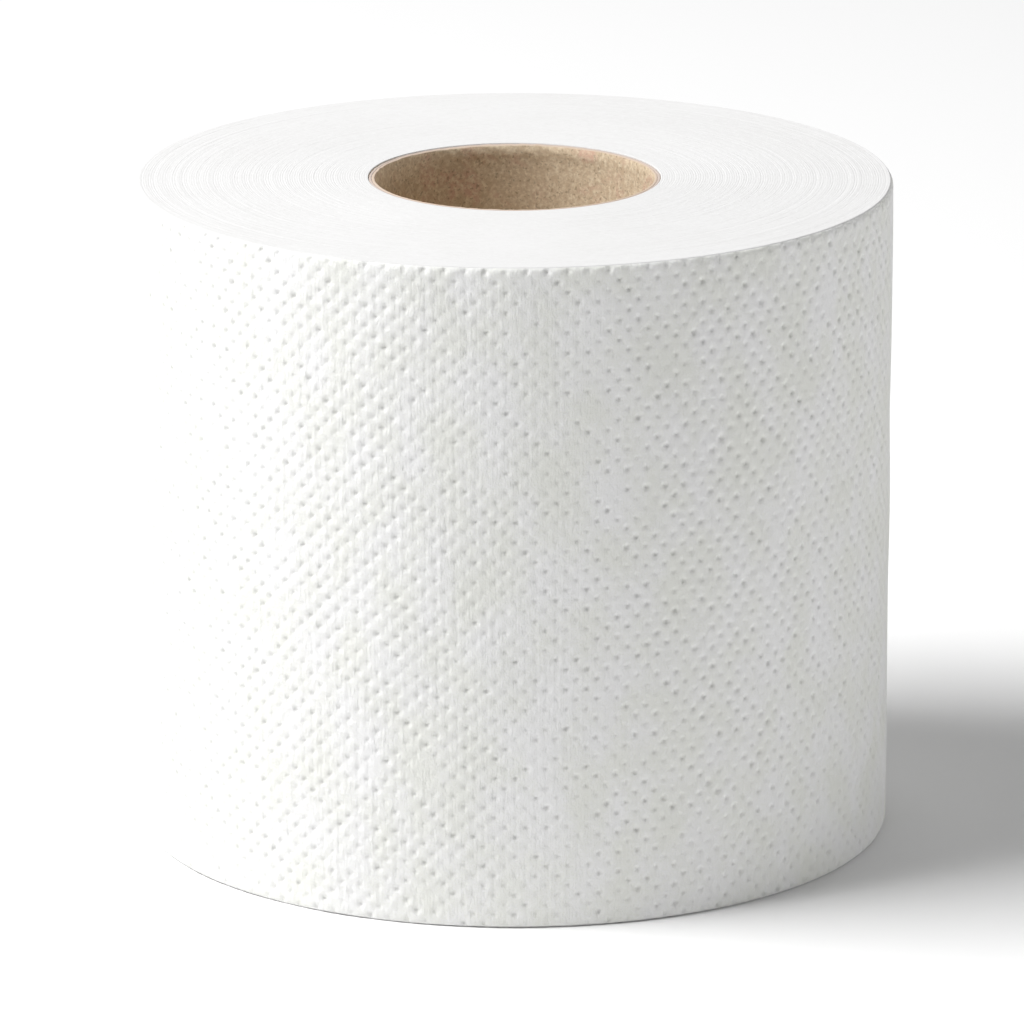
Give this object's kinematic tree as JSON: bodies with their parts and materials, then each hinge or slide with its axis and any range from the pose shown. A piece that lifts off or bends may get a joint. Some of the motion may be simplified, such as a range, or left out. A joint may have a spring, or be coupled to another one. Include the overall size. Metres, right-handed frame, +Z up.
{
  "type": "toilet paper roll",
  "caption": "Roll of white embossed toilet tissue wound on an open cardboard core, standing on one end.",
  "frame": {"origin": "on the core's axis, in the end face that the roll stands on", "axes": "+Z up the core's axis; +Y the back of the roll, on whose side the web's tail lies; +X to the right"},
  "size_m": [0.114, 0.1142, 0.1],
  "materials": {
    "tissue": "matte white creped tissue with a fine pin emboss",
    "core_board": "bare brown two-ply board, fibrous and matte"
  },
  "bodies": {
    "root": {"tissue": "tissue", "core_tube": "core_board"}
  },
  "joints": []
}
